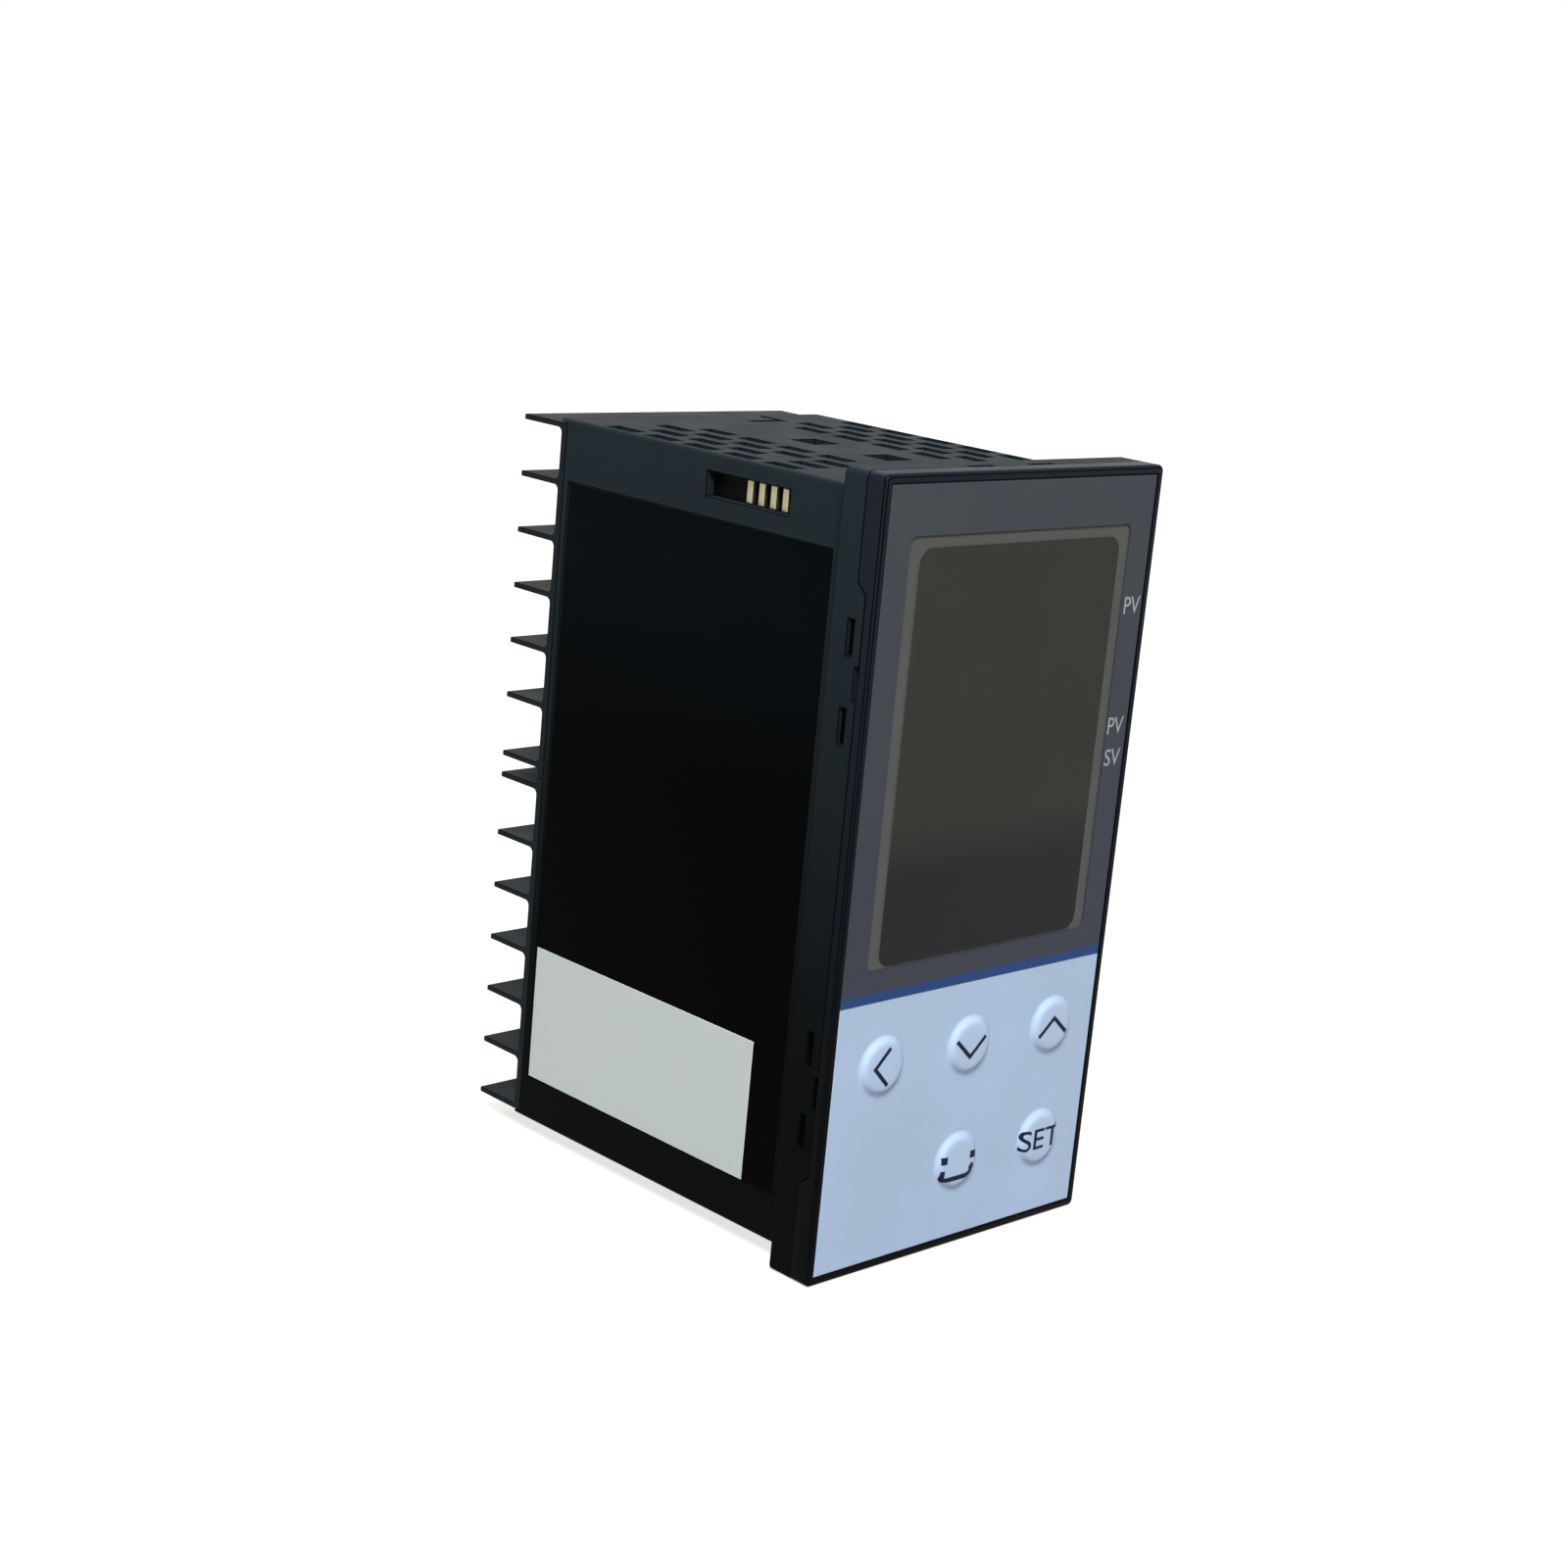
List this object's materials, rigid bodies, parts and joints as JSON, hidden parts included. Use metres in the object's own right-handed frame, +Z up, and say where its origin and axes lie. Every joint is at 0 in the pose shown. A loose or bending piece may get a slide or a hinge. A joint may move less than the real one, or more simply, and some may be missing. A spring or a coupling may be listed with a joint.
{
  "type": "pid temperature controller",
  "caption": "Panel-mount PID temperature controller: tall display front with round keys, slotted deep case, label recess and two screw terminal blocks with barrier fins.",
  "frame": {"origin": "centre of the panel cut-out, on the rear face of the front flange, which rests on the panel", "axes": "+Y into the panel toward the terminals, +Z up, +X to the right as the user faces the front"},
  "size_m": [0.048, 0.066, 0.096],
  "materials": {
    "case_plastic": "fine moulded texture",
    "bezel_plastic": "fine moulded texture",
    "printed_sheet": "satin printed film, silver below a blue line",
    "lens": "smoked, satin face",
    "key_plastic": "satin",
    "switch_plastic": "plain",
    "cell_glass": "dark glass",
    "white_plastic": "plain",
    "board_laminate": "green solder mask",
    "plug_plastic": "plain",
    "transformer_core": "varnished",
    "capacitor_can": "sleeved can",
    "relay_plastic": "plain",
    "contact_metal": "plated",
    "dark_label": "glossy film",
    "pale_label": "blank paper film",
    "plated_steel": "plated"
  },
  "bodies": {
    "controller": {"case": "case_plastic", "front_bezel": "bezel_plastic", "front_sheet": "printed_sheet", "display_lens": "lens", "key_switches": "switch_plastic", "lcd_glass": "cell_glass", "lcd_holder": "white_plastic", "display_board": "board_laminate", "main_board": "board_laminate", "power_board": "board_laminate", "terminal_board": "board_laminate", "board_headers": "plug_plastic", "transformer": "transformer_core", "smoothing_capacitor": "capacitor_can", "output_relays": "relay_plastic", "loader_socket": "plug_plastic", "loader_contacts": "contact_metal", "side_label": "dark_label", "rating_label": "pale_label", "terminal_block_upper": "case_plastic", "terminal_screws_upper": "plated_steel", "terminal_plates_upper": "contact_metal", "terminal_block_lower": "case_plastic", "terminal_screws_lower": "plated_steel", "terminal_plates_lower": "contact_metal"},
    "shift_key": {"key_shift": "key_plastic", "plunger_shift": "switch_plastic"},
    "down_key": {"key_down": "key_plastic", "plunger_down": "switch_plastic"},
    "up_key": {"key_up": "key_plastic", "plunger_up": "switch_plastic"},
    "user_key": {"key_user": "key_plastic", "plunger_user": "switch_plastic"},
    "select_key": {"key_select": "key_plastic", "plunger_select": "switch_plastic"}
  },
  "joints": [
    {"name": "press_shift", "type": "slide", "parent": "controller", "child": "shift_key", "axis": [0, 1, 0], "range_m": [0, 0.0003], "stiffness_N_per_m": 2500},
    {"name": "press_down", "type": "slide", "parent": "controller", "child": "down_key", "axis": [0, 1, 0], "range_m": [0, 0.0003], "stiffness_N_per_m": 2500},
    {"name": "press_up", "type": "slide", "parent": "controller", "child": "up_key", "axis": [0, 1, 0], "range_m": [0, 0.0003], "stiffness_N_per_m": 2500},
    {"name": "press_user", "type": "slide", "parent": "controller", "child": "user_key", "axis": [0, 1, 0], "range_m": [0, 0.0003], "stiffness_N_per_m": 2500},
    {"name": "press_select", "type": "slide", "parent": "controller", "child": "select_key", "axis": [0, 1, 0], "range_m": [0, 0.0003], "stiffness_N_per_m": 2500}
  ]
}
